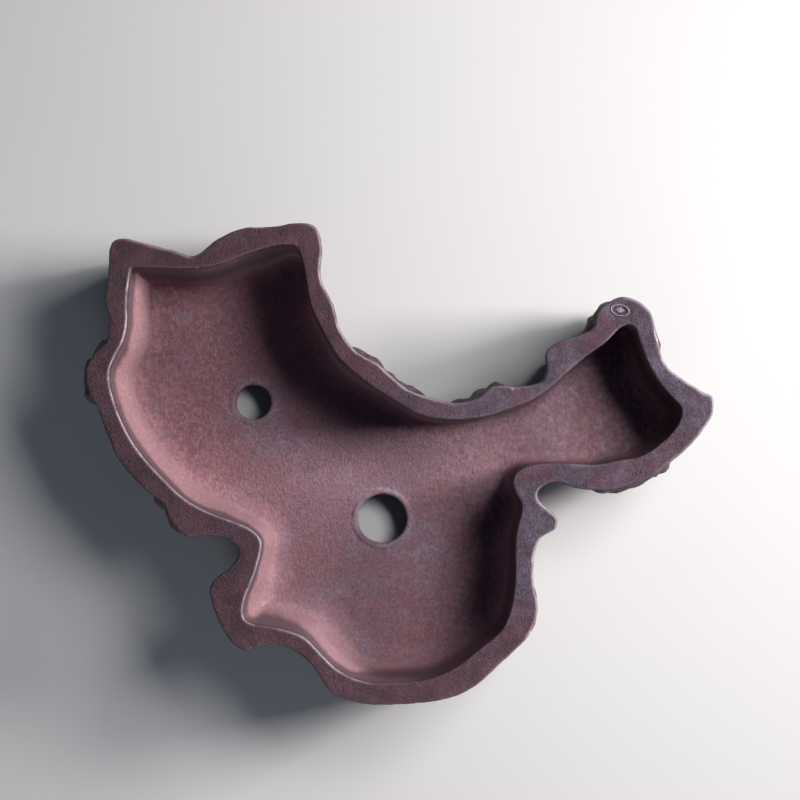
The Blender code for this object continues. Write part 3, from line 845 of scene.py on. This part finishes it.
def clay_colour(n, clay, streaks, edge, pits):
    """Rusty and blue-grey clouds over the ground colour, with painted light at some ends and on the inside
    walls and painted shade below the lip, then streaks, pale edges that are partly a painted highlight, and
    dark pits.
    """
    ground = clay.ground
    # Painted light: the grounds at the ends are lighter where the lamps and their bounce fall more.
    if clay.east:
        ground = n.mix(n.ramp(n.along("X"), *clay.east_span), ground, clay.east)
    if clay.west:
        ground = n.mix(n.ramp(n.along("X"), *WEST_SPAN), ground, clay.west)
    if clay.south:
        ground = n.mix(n.ramp(n.along("Y"), *SOUTH_SPAN), ground, clay.south)
    rusty = n.ramp(n.clouds(0.024, 6, 0.65), 0.42, 0.64)
    flecks = n.ramp(n.clouds(0.0025, 4, 0.65, stretch=(1, 0.75, 0.8), offset=0.2), 0.38, 0.64)
    rusty = n.plus(n.times(rusty, 0.40), n.times(flecks, 0.52))
    colour = n.mix(rusty, ground, clay.rust)
    chilly = n.ramp(n.clouds(0.0021, 4, 0.65, offset=0.8), 0.42, 0.64)
    colour = n.mix(n.times(chilly, 0.65), colour, clay.cool)
    misty = n.ramp(n.clouds(0.021, 8, 0.7, offset=0.3), 0.50, 0.68)
    misty = n.times(misty, 0.45)
    if clay.masks:
        broken = n.ramp(n.clouds(0.009, 6, 0.7, offset=0.6), 0.36, 0.58)
        misty = n.plus(misty, n.times(broken, n.mask("bloom")))
    speckled = n.ramp(n.clouds(0.0015, 3, 0.6, offset=0.7), 0.40, 0.60)
    share = n.times(n.plus(misty, 0.12), n.plus(n.times(speckled, 0.6), 0.3))
    colour = n.mix(n.maths("MINIMUM", n.times(share, 0.75), 1.0), colour, clay.bloom)
    if clay.masks:
        # Inside walls lighter, partly painted light; then painted shade below the lip and on the floor.
        colour = n.mix(n.times(n.mask("wall"), 0.6), colour, WALL_TONE_AND_LIGHT)
        colour = n.mix(n.times(n.mask("lip"), 0.85), colour, PAINTED_SHADE_TONE)
    tone = n.plus(n.times(streaks, 1.5 * clay.fine), 1 - 0.75 * clay.fine)
    if clay.patchy:
        uneven = n.times(n.ramp(n.clouds(0.010, 4, 0.55, offset=1.1), 0.34, 0.66), 2 * clay.patchy)
        tone = n.plus(tone, n.minus(uneven, clay.patchy))
    grey = n.add("ShaderNodeCombineColor", Red=tone, Green=tone, Blue=tone).outputs["Color"]
    colour = n.mix(0.8, colour, grey, "MULTIPLY")
    if clay.worn_and_highlight:
        colour = n.mix(n.times(edge, 0.65), colour, clay.worn_and_highlight)
    return n.mix(n.times(pits, 0.55), colour, PIT_TONE)


def clay_material(name, clay):
    """Fired clay with fine upright streaks, grain, pits, and edges that handling has smoothed, whose pale
    colour is partly a painted highlight.
    """
    material, shader, n = new_material(name)
    streaks = n.clouds(0.0011, 4, 0.65, stretch=(1.0, 0.7, 0.7), offset=0.1)
    edge = n.ramp(n.add("ShaderNodeNewGeometry").outputs["Pointiness"], 0.53, 0.62)
    if clay.worn_and_highlight:
        # The arris share is wear with a painted highlight on light-facing edges, broken into patches.
        patchy_wear_and_glint = n.plus(n.times(n.ramp(n.clouds(0.009, 3, offset=1.3), 0.35, 0.6), 0.5), 0.5)
        edge = n.maths("MAXIMUM", edge, n.times(n.mask("arris"), patchy_wear_and_glint))
    spots = n.add("ShaderNodeTexVoronoi", Vector=n.place, Scale=PITS_PER_METRE).outputs["Distance"]
    pits = n.ramp(spots, 0.06, 0.03)
    n.put(shader.inputs["Base Color"], clay_colour(n, clay, streaks, edge, pits))
    gloss = n.plus(n.times(edge, 0.5), clay.gloss) if clay.worn_and_highlight else clay.gloss
    n.put(shader.inputs["Specular IOR Level"], gloss)
    rough = n.plus(n.times(n.clouds(0.006, 4, 0.6, offset=0.5), 0.22), clay.rough - 0.11)
    n.put(shader.inputs["Roughness"], n.minus(rough, n.times(edge, 0.30)))
    grain = n.clouds(0.0006, 3, 0.7)
    height = n.plus(n.times(streaks, 0.9 * clay.fine), n.times(grain, clay.grit))
    lumps = n.clouds(0.0035, 3, 0.5, offset=0.9)
    height = n.plus(height, n.times(lumps, 0.8 * clay.coarse))
    height = n.minus(height, n.times(pits, 0.8))
    calm = n.minus(1.0, n.times(edge, 0.7))
    if clay.masks:
        calm = n.minus(n.plus(calm, 0.35), n.times(n.ramp(n.along("X"), -0.09, 0.0), 0.6))
        calm = n.minus(calm, n.times(n.mask("wall"), 0.3))
    bump = n.add("ShaderNodeBump", Height=height, Distance=BUMP_DEPTH, Strength=calm)
    n.put(shader.inputs["Normal"], bump.outputs["Normal"])
    return material


# Stage, light and camera, in metres, with the lens and its sensor in millimetres. CAMERA_BACK points
# from the pot to the camera.

STAGE_RADIUS = 4.0
STAGE_SIDES = 96
STAGE_TONES = ((0.35, 0.35, 0.355), (0.37, 0.37, 0.37))
STAGE_EAST_TONE = (0.14, 0.14, 0.14)
STAGE_ROUGHNESS = 0.85
HORIZON = (0.82, 0.84, 0.88)
HORIZON_STRENGTH = 0.55
OVERHEAD = (0.26, 0.52, 1.0)
OVERHEAD_STRENGTH = 0.055
AIM = Vector((0.0, 0.0, 0.04))
CAMERA_SPOT = Vector((0.0141, 0.0055, 0.969))
CAMERA_BACK = Vector((0.0135, -0.0225, 1.0))
LENS = 100.0
SENSOR = 36.0


def stage_material():
    """Pale all over: darker paint where the lights stand, and a glow far away that meets the sky."""
    material, shader, n = new_material("pale_stage")
    shade = n.mix(n.clouds(0.15, 3), *STAGE_TONES)
    shade = n.mix(n.ramp(n.along("X"), 0.0, 0.7), shade, STAGE_EAST_TONE)
    n.put(shader.inputs["Base Color"], shade)
    shader.inputs["Roughness"].default_value = STAGE_ROUGHNESS
    far = n.tree.nodes.new("ShaderNodeVectorMath")
    far.operation = "LENGTH"
    n.put(far.inputs[0], n.place)
    shader.inputs["Emission Color"].default_value = (*HORIZON, 1)
    glow = n.times(n.ramp(far.outputs["Value"], 0.35, 1.3), 0.8 * HORIZON_STRENGTH)
    n.put(shader.inputs["Emission Strength"], glow)
    return material


def make_stage():
    turns = [2 * math.pi * k / STAGE_SIDES for k in range(STAGE_SIDES)]
    ring = [(STAGE_RADIUS * math.cos(turn), STAGE_RADIUS * math.sin(turn), 0) for turn in turns]
    mesh = bpy.data.meshes.new("stage_floor")
    mesh.from_pydata(ring, [], [range(STAGE_SIDES)])
    mesh.materials.append(stage_material())
    floor = bpy.data.objects.new("stage_floor", mesh)
    bpy.context.scene.collection.objects.link(floor)


def add_softbox(name, azimuth, elevation, distance, size, power, colour):
    """A soft light aimed at the pot, its azimuth counted from +X towards +Y."""
    a, e = math.radians(azimuth), math.radians(elevation)
    away = Vector((math.cos(a) * math.cos(e), math.sin(a) * math.cos(e), math.sin(e)))
    data = bpy.data.lights.new(name, "AREA")
    data.shape = "RECTANGLE"
    data.size, data.size_y = size
    data.energy = power
    data.color = colour
    light = bpy.data.objects.new(name, data)
    light.location = AIM + away * distance
    light.rotation_euler = away.to_track_quat("Z", "Y").to_euler()
    bpy.context.scene.collection.objects.link(light)


def light_world():
    """A dim sky, brighter near the horizon than overhead, so that the hollow keeps its deep shadows."""
    world = bpy.data.worlds.new("studio")
    bpy.context.scene.world = world
    world.use_nodes = True
    n = Nodes(world.node_tree, "Generated")
    height = n.along("Z")
    sky = n.tree.nodes["Background"]
    n.put(sky.inputs["Color"], n.mix(n.fade(height, 0.1, 0.6), HORIZON, OVERHEAD))
    n.put(sky.inputs["Strength"], n.fade(height, 0.05, 0.6, HORIZON_STRENGTH, OVERHEAD_STRENGTH))


def light_scene():
    light_world()
    add_softbox("key", azimuth=29, elevation=52, distance=0.72, size=(0.36, 0.26), power=6.9,
                colour=(1.0, 0.98, 0.97))
    add_softbox("side", azimuth=13, elevation=25, distance=0.90, size=(0.26, 0.22), power=18.0,
                colour=(1.0, 0.94, 0.91))
    add_softbox("bounce", azimuth=268, elevation=14, distance=0.90, size=(0.70, 0.25), power=3.6,
                colour=(0.92, 0.95, 1.0))
    bpy.context.scene.view_settings.view_transform = "Standard"


def add_camera():
    """A long lens almost straight above the pot, with +Y up in its picture."""
    data = bpy.data.cameras.new("camera")
    data.lens = LENS
    data.sensor_width = SENSOR
    camera = bpy.data.objects.new("camera", data)
    bpy.context.scene.collection.objects.link(camera)
    camera.location = CAMERA_SPOT
    back = CAMERA_BACK.normalized()
    right = Vector((0.0, 1.0, 0.0)).cross(back).normalized()
    camera.rotation_euler = Matrix((right, back.cross(right), back)).transposed().to_euler()
    bpy.context.scene.camera = camera


def main():
    add_camera()
    light_scene()
    make_stage()
    rock_clay = clay_material("rock_clay", ROCK_CLAY)
    foot_clay = clay_material("foot_clay", FOOT_CLAY)
    rim_clay = clay_material("rim_clay", RIM_CLAY)
    basin_clay = clay_material("basin_clay", BASIN_CLAY)
    make_basin(basin_clay, rock_clay)
    for name, (hx, hy, radius) in DRAINS.items():
        make_collar(name, hx, hy, radius, basin_clay)
    make_rim(rim_clay)
    make_stamp(rim_clay)
    for name, (first, last, proud) in ROCKS.items():
        make_rock(name, first, last, proud, rock_clay)
    for node in nodes_named("foot_"):
        make_foot(node, foot_clay)


main()
